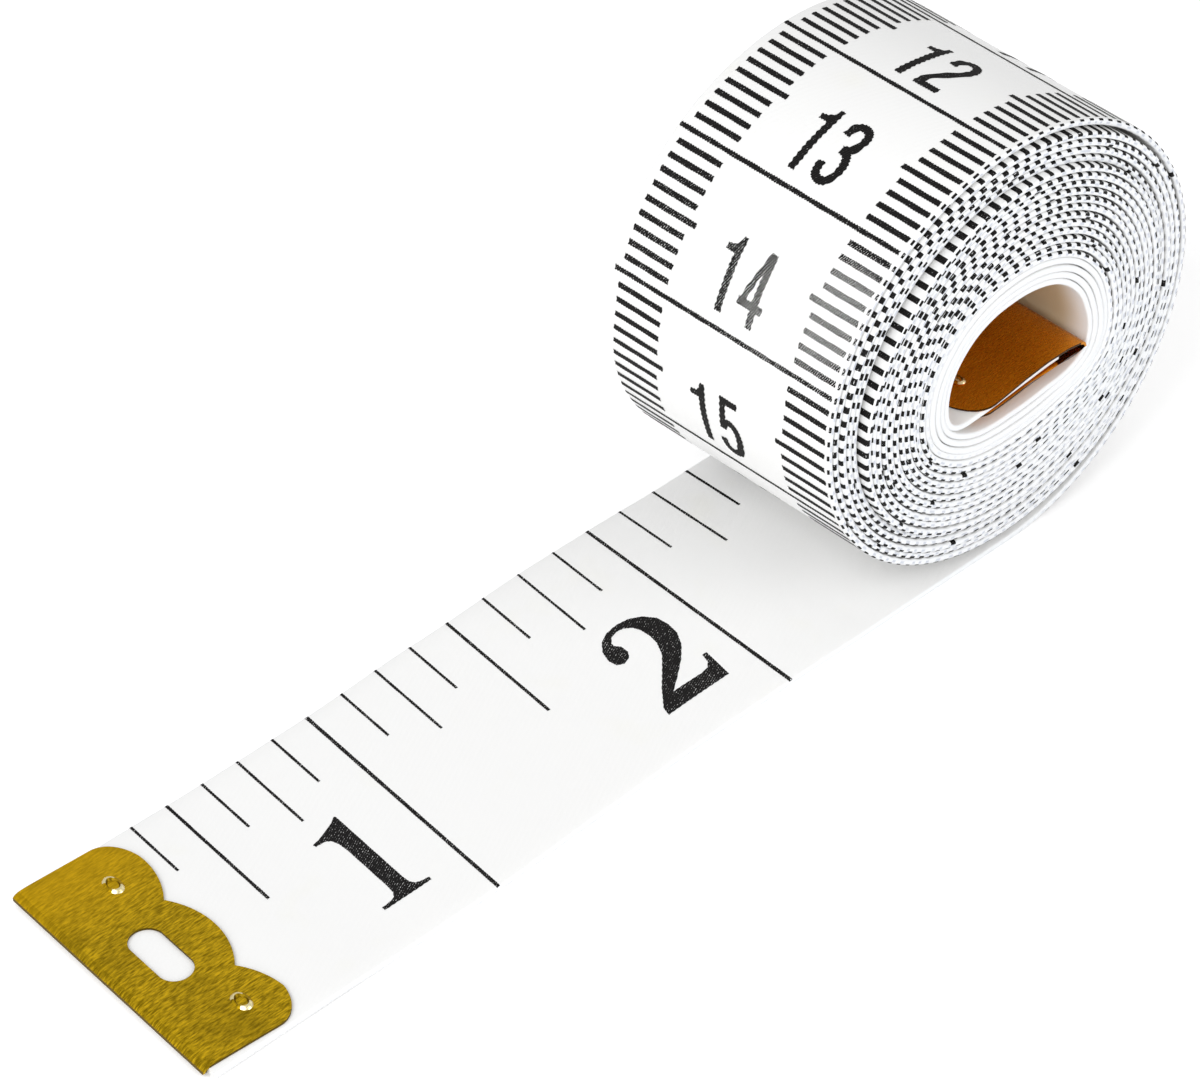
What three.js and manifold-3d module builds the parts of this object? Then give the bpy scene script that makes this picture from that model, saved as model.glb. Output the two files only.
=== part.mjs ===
// Cloth tape measure, rolled on its rim with the first inches drawn out flat.
// Millimetres, +Z up. +X runs along the tape from its free end to the roll, Y is the roll's axis.
// The origin lies on the rest plane, straight below the middle of the roll.

import * as THREE from "three";
import { mergeVertices } from "three/addons/utils/BufferGeometryUtils.js";
import Module from "manifold-3d";

// Tape: a woven glass web with a coat of soft plastic on each side
const tapeWidth = 20;
const webThickness = 0.2;
const coatThickness = 0.1;

// Roll: the tape's outer side, measured from the middle of the roll
const loopCount = 18;
const stepsPerLoop = 24;
const rollRadius = 16.6;
const rollOvality = 0.45;
const rollOvalLean = 95;
const coreRadius = 5.1;
const coreOvality = 0.95;
const coreOvalLean = 86;
const coreCorner = 0.3;
const coreCornerLean = 60;
const coreShift = 0.3;
const coreDrop = 0.3;
const woundThickness = 0.1;
const firstLoopSlack = 0.3;
const startTaperShare = 0.12;

// Flat run under the roll
const runLength = 20;
const runFlatLength = 8;
const runStepLength = 2;

// Lead: three lengths of free tape between the roll and the outer tip
const leadCount = 3;
const leadLength = 15.6;
const jointGap = 0.3;

// Inner end, drawn across the core below the middle of the roll
const innerEndDrop = 2.85;
const innerEndStart = -3.9;
const innerTipEnd = 5.5;
const innerBendShare = 0.72;
const innerBendSteps = 8;
const innerBendReach = 1.6;

// Brass tips, folded over the end of the tape and clinched
const plateThickness = 0.3;
const tipSetback = 0.2;
const tipLength = 8.4;
const tipSideLength = 6.2;
const lobeCount = 3;
const lobeDepth = 1.2;
const lobeSegments = 8;
const foldSegments = 8;
const innerTipGap = 0.3;
const tapeEndGap = 0.3;
const windowLength = 5.2;
const windowWidth = 2.1;
const windowPlace = 4.2;
const clinchPlace = 5.5;
const clinchInset = 2.9;
const clinchRadius = 0.75;
const clinchRimRadius = 0.45;
const clinchPitRadius = 0.22;
const clinchHeight = 0.25;
const clinchPitDepth = 0.15;
const clinchSegments = 16;
const cutOverrun = 0.5;

// Places that follow from the sizes above
const tapeThickness = webThickness + 2 * coatThickness;
const halfWidth = tapeWidth / 2;
const tipWidth = tapeWidth - 2 * tipSetback;
const clinchAcross = tipWidth / 2 - clinchInset;
const leadBase = plateThickness;
const leadMiddle = leadBase + tapeThickness / 2;
const leadPitch = leadLength + jointGap;
const outerTipHalfHeight = tapeThickness / 2 + plateThickness;
const leadOuterEnd = -runLength - leadCount * leadPitch;
const outerTipEnd = leadOuterEnd - tapeEndGap - outerTipHalfHeight;
const innerTipHalfHeight = tapeThickness / 2 + innerTipGap + plateThickness;
const loopPitch = (rollRadius - firstLoopSlack - coreRadius) / loopCount;

const radians = THREE.MathUtils.degToRad;

const loops = loopPoints();
const restIndex = lowestIndex(loops.slice(0, stepsPerLoop / 2));
const rollCentreHeight = -loops[restIndex].y;
const innerEndHeight = rollCentreHeight - innerEndDrop;

const coatMaterial = new THREE.MeshStandardMaterial({ color: 0xf5f5f2, roughness: 0.5, metalness: 0 });
const webMaterial = new THREE.MeshStandardMaterial({ color: 0xe4e8e6, roughness: 0.8, metalness: 0 });
const outerBrass = new THREE.MeshStandardMaterial({ color: 0xc39a1c, roughness: 0.35, metalness: 1 });
const innerBrass = new THREE.MeshStandardMaterial({ color: 0xa8781c, roughness: 0.25, metalness: 1 });

const wasm = await Module();
wasm.setup();

// A solid that can be cut and joined, from a closed three.js geometry
function toSolid(geometry) {
  geometry.deleteAttribute("normal");
  geometry.deleteAttribute("uv");
  const merged = mergeVertices(geometry);
  const mesh = new wasm.Mesh({
    numProp: 3,
    vertProperties: new Float32Array(merged.attributes.position.array),
    triVerts: new Uint32Array(merged.index.array),
  });
  return new wasm.Manifold(mesh);
}

function fromSolid(solid) {
  const mesh = solid.getMesh();
  const geometry = new THREE.BufferGeometry();
  geometry.setAttribute("position", new THREE.BufferAttribute(new Float32Array(mesh.vertProperties), 3));
  geometry.setIndex(Array.from(mesh.triVerts));
  geometry.computeVertexNormals();
  return geometry;
}

function smoothShare(value) {
  const share = THREE.MathUtils.clamp(value, 0, 1);
  return share * share * (3 - 2 * share);
}

// Outer side of the wound tape at a number of turns, round the middle of the roll.
// The loops go from the roll's slight oval to the core's, which the inner tip pushes out at its corners.
function spiralPoint(turns) {
  const angle = 2 * Math.PI * turns;
  const inward = turns / loopCount;
  const rollOval = rollOvality * Math.cos(2 * (angle - radians(rollOvalLean)));
  const coreOval = coreOvality * Math.cos(2 * (angle - radians(coreOvalLean)));
  const corners = coreCorner * Math.cos(3 * (angle - radians(coreCornerLean)));
  const oval = THREE.MathUtils.lerp(rollOval, coreOval + corners, inward);
  const radius = rollRadius - loopPitch * turns - firstLoopSlack * Math.min(turns, 1) + oval;
  return new THREE.Vector2(
    radius * Math.sin(angle) + coreShift * inward,
    -radius * Math.cos(angle) - coreDrop * inward,
  );
}

function loopPoints() {
  const stepCount = Math.round((loopCount - 1 + innerBendShare) * stepsPerLoop);
  return Array.from({ length: stepCount + 1 }, (unused, step) => spiralPoint(step / stepsPerLoop));
}

function lowestIndex(points) {
  return points.reduce((best, point, index) => (point.y < points[best].y ? index : best), 0);
}

// The whole wound path: flat run, loops and the bend into the core's inner end
function woundPath() {
  const rising = loops.slice(restIndex).map((point) => new THREE.Vector2(point.x, point.y + rollCentreHeight));

  const run = [];
  for (let x = -runLength; x < rising[0].x - runStepLength / 2; x += runStepLength) {
    const lift = smoothShare((-runFlatLength - x) / (runLength - runFlatLength));
    run.push(new THREE.Vector2(x, leadBase * lift));
  }

  const bendStart = rising[rising.length - 1];
  const heading = bendStart.clone().sub(rising[rising.length - 2]).setLength(innerBendReach);
  const bendEnd = new THREE.Vector2(innerEndStart, innerEndHeight - tapeThickness / 2);
  const bend = new THREE.CubicBezierCurve(
    bendStart,
    bendStart.clone().add(heading),
    new THREE.Vector2(bendEnd.x - innerBendReach, bendEnd.y),
    bendEnd,
  );
  const bendPoints = bend.getPoints(innerBendSteps).slice(1);
  return { points: [...run, ...rising, ...bendPoints], runCount: run.length, bendCount: bendPoints.length };
}

// Thickness along the path: full in the run and at the inner end, thin between, where the loops need their gap
function thicknessAt(index, path) {
  const intoLoops = (index - path.runCount) / (startTaperShare * stepsPerLoop);
  const intoBend = (index - (path.points.length - 1 - path.bendCount)) / path.bendCount;
  const thin = smoothShare(intoLoops) * (1 - smoothShare(intoBend));
  return THREE.MathUtils.lerp(tapeThickness, woundThickness, thin);
}

function woundSections(path) {
  const { points } = path;
  return points.map((point, index) => {
    const before = points[Math.max(index - 1, 0)];
    const after = points[Math.min(index + 1, points.length - 1)];
    const level = index === 0 || index === points.length - 1;
    const along = level ? new THREE.Vector2(1, 0) : after.clone().sub(before).normalize();
    const inward = new THREE.Vector2(-along.y, along.x).multiplyScalar(thicknessAt(index, path));
    return { outer: point, inner: point.clone().add(inward) };
  });
}

function ribbonGeometry(sections) {
  const places = [];
  sections.forEach(({ outer, inner }) => {
    places.push(outer.x, -halfWidth, outer.y, outer.x, halfWidth, outer.y);
    places.push(inner.x, halfWidth, inner.y, inner.x, -halfWidth, inner.y);
  });
  const faces = [0, 3, 2, 0, 2, 1];
  for (let section = 0; section < sections.length - 1; section += 1) {
    const near = 4 * section;
    const far = near + 4;
    for (let side = 0; side < 4; side += 1) {
      const next = (side + 1) % 4;
      faces.push(near + side, near + next, far + next, near + side, far + next, far + side);
    }
  }
  const last = 4 * (sections.length - 1);
  faces.push(last, last + 1, last + 2, last, last + 2, last + 3);
  const geometry = new THREE.BufferGeometry();
  geometry.setAttribute("position", new THREE.Float32BufferAttribute(places, 3));
  geometry.setIndex(faces);
  geometry.computeVertexNormals();
  return geometry;
}

function distanceToSegment(point, start, end) {
  const span = end.clone().sub(start);
  const share = THREE.MathUtils.clamp(point.clone().sub(start).dot(span) / span.lengthSq(), 0, 1);
  return point.distanceTo(start.clone().addScaledVector(span, share));
}

// Least gap between one loop's outer side and the inner side of the loop round it
function leastGap(sections) {
  let least = Infinity;
  sections.forEach((section, index) => {
    const firstNeighbour = Math.max(0, index - Math.round(1.5 * stepsPerLoop));
    for (let other = firstNeighbour; other < index - stepsPerLoop / 2; other += 1) {
      const start = sections[other].inner;
      const end = sections[other + 1].inner;
      least = Math.min(least, distanceToSegment(section.outer, start, end));
    }
  });
  return least;
}

function pathLength(points) {
  return points.slice(1).reduce((sum, point, index) => sum + point.distanceTo(points[index]), 0);
}

// One layer of a straight length of tape
function layerMesh(name, start, end, base, thickness, material) {
  const mesh = new THREE.Mesh(new THREE.BoxGeometry(end - start, tapeWidth, thickness), material);
  mesh.name = name;
  mesh.position.set((start + end) / 2, 0, base + thickness / 2);
  return mesh;
}

// The three bonded layers of a straight length, the centimetre side down and the inch side up
function tapeLength(name, start, end, base) {
  const group = new THREE.Group();
  const webBase = base + coatThickness;
  const inchBase = webBase + webThickness;
  group.add(layerMesh(`${name}_centimetre_coat`, start, end, base, coatThickness, coatMaterial));
  group.add(layerMesh(`${name}_glass_web`, start, end, webBase, webThickness, webMaterial));
  group.add(layerMesh(`${name}_inch_coat`, start, end, inchBase, coatThickness, coatMaterial));
  return group;
}

// Plan of a tip: straight sides, a row of round lobes on the inboard edge, and a round-ended window
function tipPlan() {
  const plan = new THREE.Shape();
  const side = tipWidth / 2;
  const chord = tipWidth / lobeCount;
  const lobeRadius = (chord * chord / 4 + lobeDepth * lobeDepth) / (2 * lobeDepth);
  const halfAngle = Math.asin(chord / 2 / lobeRadius);
  const lobePlace = tipLength - lobeRadius;
  const cornerLength = tipLength - tipSideLength;
  const cornerMiddle = side - chord / 2;
  plan.moveTo(0, side);
  plan.lineTo(0, -side);
  plan.lineTo(tipSideLength, -side);
  plan.absellipse(tipSideLength, -cornerMiddle, cornerLength, chord / 2, -Math.PI / 2, 0, false);
  plan.absarc(lobePlace, -cornerMiddle, lobeRadius, 0, halfAngle, false);
  for (let lobe = 1; lobe < lobeCount - 1; lobe += 1) {
    plan.absarc(lobePlace, -cornerMiddle + chord * lobe, lobeRadius, -halfAngle, halfAngle, false);
  }
  plan.absarc(lobePlace, cornerMiddle, lobeRadius, -halfAngle, 0, false);
  plan.absellipse(tipSideLength, cornerMiddle, cornerLength, chord / 2, 0, Math.PI / 2, false);
  plan.lineTo(0, side);

  const window = new THREE.Path();
  const endRadius = windowWidth / 2;
  const endPlace = windowLength / 2 - endRadius;
  window.absarc(windowPlace, endPlace, endRadius, 0, Math.PI, false);
  window.absarc(windowPlace, -endPlace, endRadius, Math.PI, 2 * Math.PI, false);
  window.closePath();
  plan.holes.push(window);
  return plan;
}

// Side profile of a tip: two plates joined by a round fold, open on the inboard side
function tipProfile(halfHeight) {
  const profile = new THREE.Shape();
  const innerHalf = halfHeight - plateThickness;
  const end = tipLength + cutOverrun;
  profile.moveTo(end, halfHeight);
  profile.lineTo(halfHeight, halfHeight);
  profile.absarc(halfHeight, 0, halfHeight, Math.PI / 2, 1.5 * Math.PI, false);
  profile.lineTo(end, -halfHeight);
  profile.lineTo(end, -innerHalf);
  profile.lineTo(halfHeight, -innerHalf);
  profile.absarc(halfHeight, 0, innerHalf, 1.5 * Math.PI, Math.PI / 2, true);
  profile.lineTo(end, innerHalf);
  profile.closePath();
  return profile;
}

// One clinch: a small raised ring with a pit, pressed up through the top plate
function clinchSolid(place, across, plateTop) {
  const root = -plateThickness / 2;
  const pit = clinchHeight - clinchPitDepth;
  const outline = [
    [0, root], [clinchRadius, root], [clinchRadius, 0], [clinchRimRadius, clinchHeight],
    [clinchPitRadius, clinchHeight], [clinchPitRadius / 2, pit], [0, pit],
  ];
  const points = outline.map(([radius, height]) => new THREE.Vector2(radius, height));
  const ring = new THREE.LatheGeometry(points, clinchSegments);
  ring.rotateX(Math.PI / 2);
  ring.translate(place, across, plateTop);
  return toSolid(ring);
}

// A folded tip with its end at x = 0, its lobes at +X and the middle of the tape at z = 0
function tipGeometry(halfHeight) {
  const depth = tipWidth + 2 * cutOverrun;
  const bent = new THREE.ExtrudeGeometry(tipProfile(halfHeight), {
    depth, bevelEnabled: false, curveSegments: foldSegments,
  });
  bent.rotateX(Math.PI / 2);
  bent.translate(0, depth / 2, 0);
  const height = 2 * (halfHeight + cutOverrun);
  const cutter = new THREE.ExtrudeGeometry(tipPlan(), {
    depth: height, bevelEnabled: false, curveSegments: lobeSegments,
  });
  cutter.translate(0, 0, -height / 2);
  let solid = toSolid(bent).intersect(toSolid(cutter));
  for (const side of [-1, 1]) {
    solid = solid.add(clinchSolid(clinchPlace, side * clinchAcross, halfHeight));
  }
  return fromSolid(solid);
}

function woundTape() {
  const path = woundPath();
  const sections = woundSections(path);
  const mesh = new THREE.Mesh(ribbonGeometry(sections), coatMaterial);
  mesh.name = "wound_tape";
  console.log(`loops ${loopCount}, least gap between loops ${leastGap(sections).toFixed(3)} mm`);
  console.log(`tape in the roll ${pathLength(path.points).toFixed(0)} mm`);
  return mesh;
}

function leads() {
  const group = new THREE.Group();
  const names = ["lead_near", "lead_middle", "lead_outer"];
  names.slice(0, leadCount).forEach((name, index) => {
    const inboard = -runLength - jointGap - index * leadPitch;
    group.add(tapeLength(name, inboard - leadLength, inboard, leadBase));
  });
  return group;
}

function outerTip() {
  const mesh = new THREE.Mesh(tipGeometry(outerTipHalfHeight), outerBrass);
  mesh.name = "outer_tip";
  mesh.position.set(outerTipEnd, 0, leadMiddle);
  return mesh;
}

function innerEnd() {
  const group = new THREE.Group();
  const start = innerEndStart + jointGap;
  const end = innerTipEnd - innerTipHalfHeight;
  group.add(tapeLength("inner_end", start, end, innerEndHeight - tapeThickness / 2));
  const tip = new THREE.Mesh(tipGeometry(innerTipHalfHeight), innerBrass);
  tip.name = "inner_tip";
  tip.position.set(innerTipEnd, 0, innerEndHeight);
  tip.rotation.z = Math.PI;
  group.add(tip);
  return group;
}

const tapeMeasure = new THREE.Group();
tapeMeasure.add(woundTape(), leads(), outerTip(), innerEnd());

export default tapeMeasure;
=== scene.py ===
import bisect
import math

import bmesh
import bpy
from mathutils import Matrix, Vector
from mathutils.geometry import delaunay_2d_cdt


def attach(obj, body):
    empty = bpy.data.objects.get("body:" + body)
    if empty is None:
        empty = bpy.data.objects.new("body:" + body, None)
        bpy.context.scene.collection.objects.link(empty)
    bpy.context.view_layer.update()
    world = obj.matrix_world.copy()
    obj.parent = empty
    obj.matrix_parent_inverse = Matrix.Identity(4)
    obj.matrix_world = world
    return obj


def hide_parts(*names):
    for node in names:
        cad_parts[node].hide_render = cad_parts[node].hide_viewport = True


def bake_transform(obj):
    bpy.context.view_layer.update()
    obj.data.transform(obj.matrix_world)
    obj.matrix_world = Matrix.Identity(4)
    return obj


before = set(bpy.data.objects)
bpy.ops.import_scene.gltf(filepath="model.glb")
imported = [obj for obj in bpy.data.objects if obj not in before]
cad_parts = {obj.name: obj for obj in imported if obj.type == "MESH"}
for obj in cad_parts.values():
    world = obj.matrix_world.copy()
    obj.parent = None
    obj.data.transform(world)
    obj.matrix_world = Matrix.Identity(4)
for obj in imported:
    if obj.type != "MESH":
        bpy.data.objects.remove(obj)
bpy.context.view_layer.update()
print("frame loaded:", len(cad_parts), "nodes")

mm = 0.001

# The tape, in mm. Places along it are counted from the zero of its centimetre scale.
tape = {
    "width": 20.0,
    "thickness": 0.44,
    "edgeRounding": 0.15,
    "edgeSteps": 4,
    "start": 0.6,               # where the tape begins, inside the outer tip
    "askewRoom": 1.4,           # its askew end reaches this much further on one side
    "zeroPlace": -68.9,         # x of the scale's zero
    "tipLift": 0.2,             # the outer tip's lower plate lies under the tape
    "leadLiftEnd": [8.0, 17.0],  # the lead sinks from that plate to the table between these
    "skew": 0.115,              # the weft runs askew in the drawn-out lead
    "skewFade": [40.0, 60.0],
    # how the drawn-out lead strays sideways, by places along it
    "sway": [[0.0, -0.12], [12.0, -0.2], [24.0, -0.24], [34.0, 0.05], [44.0, 0.3], [50.0, 0.26], [58.0, 0.08],
             [69.0, 0.0]],
    "flare": [[0.0, 1.03], [26.0, 1.022], [42.0, 1.014], [60.0, 1.0]],  # it has spread a little towards its end
    "strand": [-0.438, 0.899],  # the web's strands lie aslant: their share along the tape and across it
    "crossing": [0.66, 0.75],   # and that of the strands across them
    "pathStep": 0.1,
    "leadStep": 0.3,            # between the lead's cross-sections, because it bends at its hinges
    "innerStep": 0.22,
    "leadFaceSteps": 20,        # across its faces: its weft is askew, so its bends run across these
}

# The roll, in mm, round its middle. Turns start straight below the middle and rise at +X.
roll = {
    "middle": [0.52, 16.35],
    "radius": 16.6,
    "windDepth": 10.5,          # about how far it winds inwards in all
    "oval": [-0.47, 0.05],
    "footFlat": 0.22,           # flattened where it stands, over a share of the first turn
    "footFlatTurns": 0.16,
    "footSinkTurns": 0.2,
    "firstTurnSlack": 0.25,
    "turns": 20.78,
    "coreReachedAt": 20.3,
    "coreShift": [-0.45, 0.5],
    "coreRadii": [[0, 4.7], [30, 5.3], [62, 7.35], [92, 6.5], [121, 5.4], [150, 4.45], [180, 4.05],
                  [208, 4.3], [238, 5.0], [268, 5.95], [293, 6.45], [318, 5.75], [342, 4.95]],
    "stepDegrees": 3.0,
    "creviceDepth": 0.4,        # the fifth and sixth turns part at the upper left
    "creviceTurn": 5.15,
    "creviceMiddle": 232.0,
    "creviceReach": 78.0,
    "pairing": 0.022,           # some neighbours lie closer than others
    "pairingEnds": [1.2, 19.2],
    "pairingWaves": [2.55, 0.6, 0.83],
    "printedTurns": 16.6,       # no marks show in the edges further in
    "outerMarksEnd": 1.04,      # turns whose face shows its whole scale
}

# How far each stretch of the winding stands out of the near end, by turns
overhang = [[0.0, 0.0], [0.25, 0.08], [0.4, 0.36], [0.56, 0.12], [0.75, 0.0], [1.0, 0.02], [1.4, -0.12],
            [1.75, 0.0], [2.2, -0.08], [2.7, -0.26], [3.3, -0.16], [3.7, -0.24], [4.3, -0.1], [4.75, -0.2],
            [5.2, -0.22], [5.45, -0.6], [5.65, -0.95], [5.85, -0.75], [6.2, -0.5], [6.7, -0.78],
            [7.3, -0.5], [7.7, -0.82], [8.3, -0.58], [8.7, -0.88], [9.3, -0.62], [9.7, -0.92],
            [10.3, -0.7], [10.7, -0.98], [11.3, -0.74], [11.7, -1.02], [12.3, -0.8], [12.7, -1.06],
            [13.3, -0.86], [13.7, -1.1], [14.5, -0.95], [15.5, -1.05], [17.0, -0.95], [18.0, -1.05],
            [20.78, -0.9]]

# The inner end: from the core's wall round a tight bend to the middle of the inner tip
innerEnd = {
    "route": [[-3.75, 13.3], [-2.2, 13.36], [0.6, 13.62], [3.2, 13.84], [4.3, 13.88]],  # x and z inside the tip
    "routeStep": 0.12,
    "bendReach": [1.9, 1.5],
    "bendSteps": 80,
    "across": -0.85,
    "acrossReach": 5.0,         # it shifts sideways over this length, which is a piece of its own
}


def smoothShare(value):
    share = min(1.0, max(0.0, value))
    return share * share * (3 - 2 * share)


def between(low, high, share):
    return low + (high - low) * share


def listedValue(knots, place):
    place = min(knots[-1][0], max(knots[0][0], place))
    index = max(1, min(len(knots) - 1, bisect.bisect_left([knot[0] for knot in knots], place)))
    (low, lowValue), (high, highValue) = knots[index - 1], knots[index]
    return between(lowValue, highValue, smoothShare((place - low) / (high - low)))


def coreRadius(degrees):
    # a closed cubic curve through the listed radii
    knots = roll["coreRadii"]
    count = len(knots)
    degrees %= 360
    index = bisect.bisect_right([knot[0] for knot in knots], degrees) - 1
    low = knots[index]
    high = knots[(index + 1) % count]
    before = knots[index - 1]
    after = knots[(index + 2) % count]
    span = (high[0] - low[0]) % 360
    spanBefore = (low[0] - before[0]) % 360
    spanAfter = (after[0] - high[0]) % 360
    share = (degrees - low[0]) / span
    slopeLow = ((high[1] - low[1]) / span + (low[1] - before[1]) / spanBefore) / 2 * span
    slopeHigh = ((after[1] - high[1]) / spanAfter + (high[1] - low[1]) / span) / 2 * span
    cube, square = share ** 3, share ** 2
    return ((2 * cube - 3 * square + 1) * low[1] + (cube - 2 * square + share) * slopeLow
            + (3 * square - 2 * cube) * high[1] + (cube - square) * slopeHigh)


def windRadius(turns):
    return roll["radius"] - roll["windDepth"] * turns / roll["turns"]


def rollPoint(turns):
    # middle of the tape's thickness, after some turns
    degrees = 360 * turns
    angle = math.radians(degrees)
    inward = turns / roll["coreReachedAt"]
    oval = roll["oval"][0] * math.cos(2 * angle) + roll["oval"][1] * math.sin(2 * angle)
    outer = roll["radius"] + oval - roll["firstTurnSlack"] * smoothShare(turns)
    outer += roll["footFlat"] * (1 - smoothShare(turns / roll["footFlatTurns"]))
    core = coreRadius(degrees) + tape["thickness"]
    radius = between(outer, core, inward) - tape["thickness"] / 2
    fromCrevice = (degrees - roll["creviceMiddle"] + 180) % 360 - 180
    crevice = 0.5 + 0.5 * math.cos(math.pi * min(1.0, abs(fromCrevice) / roll["creviceReach"]))
    step = smoothShare((turns - roll["creviceTurn"] + 0.25) * 2)
    radius -= roll["creviceDepth"] * crevice * (step - inward)
    first, last = roll["pairingEnds"]
    spread = min(1.0, max(0.0, min(turns - first, last - turns)))
    quick, sway, slow = roll["pairingWaves"]
    radius += roll["pairing"] * spread * math.sin(turns * quick + sway * math.sin(turns * slow))
    x = roll["middle"][0] + roll["coreShift"][0] * inward + radius * math.sin(angle)
    z = roll["middle"][1] + roll["coreShift"][1] * inward - radius * math.cos(angle)
    return x, z


def leadHeight(place):
    low, high = tape["leadLiftEnd"]
    return tape["tipLift"] * (1 - smoothShare((place - low) / (high - low)))


def bezier(points, share):
    rest = 1 - share
    weights = [rest ** 3, 3 * rest * rest * share, 3 * rest * share * share, share ** 3]
    return tuple(sum(weight * point[axis] for weight, point in zip(weights, points)) for axis in (0, 1))


def tapePath():
    # dense points (x, z, turns) of the tape's middle, from its start to its inner end
    half = tape["thickness"] / 2
    points = []
    place = tape["start"] - tape["askewRoom"]
    flatEnd = roll["middle"][0] - tape["zeroPlace"]
    while place < flatEnd - tape["pathStep"] / 2:
        points.append((tape["zeroPlace"] + place, leadHeight(place) + half, 0.0))
        place += tape["pathStep"]
    x, z = rollPoint(0)
    sink = z - half
    turns = 0.0
    while turns <= roll["turns"]:
        x, z = rollPoint(turns)
        points.append((x, z - sink * (1 - smoothShare(turns / roll["footSinkTurns"])), turns))
        turns += tape["pathStep"] / (2 * math.pi * windRadius(turns))
    # the bend from the wall into the tip, and the run inside it
    (x0, z0, _), (x1, z1, _) = points[-2], points[-1]
    heading = Vector((x1 - x0, z1 - z0)).normalized()
    inside = [Vector(point) for point in innerEnd["route"]]
    entry = (inside[1] - inside[0]).normalized()
    reachOut, reachIn = innerEnd["bendReach"]
    corner = [(x1, z1), tuple(Vector((x1, z1)) + heading * reachOut), tuple(inside[0] - entry * reachIn),
              tuple(inside[0])]
    for step in range(1, innerEnd["bendSteps"] + 1):
        x, z = bezier(corner, step / innerEnd["bendSteps"])
        points.append((x, z, roll["turns"]))
    for low, high in zip(inside, inside[1:]):
        steps = round((high - low).length / innerEnd["routeStep"])
        for step in range(1, steps + 1):
            x, z = low.lerp(high, step / steps)
            points.append((x, z, roll["turns"]))
    return points


pathPoints = tapePath()
pathPlaces = [tape["start"] - tape["askewRoom"]]
for before, after in zip(pathPoints, pathPoints[1:]):
    pathPlaces.append(pathPlaces[-1] + math.hypot(after[0] - before[0], after[1] - before[1]))
tapeEndPlace = pathPlaces[-1]
turnPlaces = [(point[2], place) for point, place in zip(pathPoints, pathPlaces)]
turnEnd = max(place for turns, place in turnPlaces if turns < roll["turns"])


def placeAfter(turns):
    # where the tape has first gone round more than some turns
    return next(place for passed, place in turnPlaces if passed > turns)


innerCut = turnEnd - innerEnd["acrossReach"]  # the wound length ends and the inner length starts
blankFrom = placeAfter(roll["printedTurns"])
print("tape laid:", round(tapeEndPlace - tape["start"]), "mm,", roll["turns"], "turns")


def pathAt(place):
    # x, z, direction and turns at a place along the tape
    place = min(tapeEndPlace, max(pathPlaces[0], place))
    index = max(1, min(len(pathPlaces) - 1, bisect.bisect_left(pathPlaces, place)))
    low, high = pathPlaces[index - 1], pathPlaces[index]
    share = (place - low) / (high - low)
    a = pathPoints[index - 1]
    b = pathPoints[index]
    before = pathPoints[max(0, index - 3)]
    after = pathPoints[min(len(pathPoints) - 1, index + 2)]
    length = math.hypot(after[0] - before[0], after[1] - before[1])
    direction = ((after[0] - before[0]) / length, (after[1] - before[1]) / length)
    return between(a[0], b[0], share), between(a[1], b[1], share), direction, between(a[2], b[2], share)


def skewAt(place):
    low, high = tape["skewFade"]
    return tape["skew"] * (1 - smoothShare((place - low) / (high - low)))


def acrossOffset(place, turns):
    if place > turnEnd:
        return between(overhang[-1][1], innerEnd["across"],
                       smoothShare((place - turnEnd) / innerEnd["acrossReach"]))
    if turns <= 0:
        return listedValue(tape["sway"], place)
    return listedValue(overhang, turns)


def tapePoint(place, across, rise):
    # place along, across from the middle, and rise from the middle of the thickness towards the inch side
    x, z, direction, turns = pathAt(place + skewAt(place) * across)
    wide = across * listedValue(tape["flare"], place)
    return Vector((x - direction[1] * rise, wide + acrossOffset(place, turns), z + direction[0] * rise)) * mm


def sectionOutline(faceSteps=1):
    # the tape's cross-section: (across, rise), rounded at both edges
    half, thick = tape["width"] / 2, tape["thickness"] / 2
    rounding, steps = tape["edgeRounding"], tape["edgeSteps"]
    outline = []
    for side, level in ((1, -1), (1, 1), (-1, 1), (-1, -1)):
        for step in range(steps + 1):
            turn = step / steps if side * level < 0 else 1 - step / steps
            angle = turn * math.pi / 2
            outline.append((side * (half - rounding + rounding * math.sin(angle)),
                            level * (thick - rounding + rounding * math.cos(angle))))
        if side == level:
            # the faces, in steps from one edge to the other
            outline.extend((side * (half - rounding) * (1 - 2 * step / faceSteps), level * thick)
                           for step in range(1, faceSteps))
    return outline


woundSection = sectionOutline()
leadSection = sectionOutline(tape["leadFaceSteps"])


def stationsBetween(start, end):
    # places of the tape's cross-sections, closer where it bends more
    stations = [start]
    place = start
    while place < end:
        turns = pathAt(place)[3]
        if place > turnEnd - 2:
            step = tape["innerStep"]
        elif turns > 0:
            step = roll["stepDegrees"] / 360 * 2 * math.pi * windRadius(turns)
        else:
            step = tape["leadStep"]
        place += step
        stations.append(min(place, end))
    if len(stations) > 2 and stations[-1] - stations[-2] < 0.05:
        stations.pop(-2)
    return stations


def meshObject(name, points, faces, places=None, smooth=True):
    mesh = bpy.data.meshes.new(name)
    mesh.from_pydata([tuple(point) for point in points], [], faces)
    if places is not None:
        attribute = mesh.attributes.new("tapePlace", "FLOAT_VECTOR", "POINT")
        attribute.data.foreach_set("vector", [value for place in places for value in place])
    mesh.polygons.foreach_set("use_smooth", [smooth] * len(mesh.polygons))
    mesh.update()
    made = bpy.data.objects.new(name, mesh)
    bpy.context.scene.collection.objects.link(made)
    return made


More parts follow.
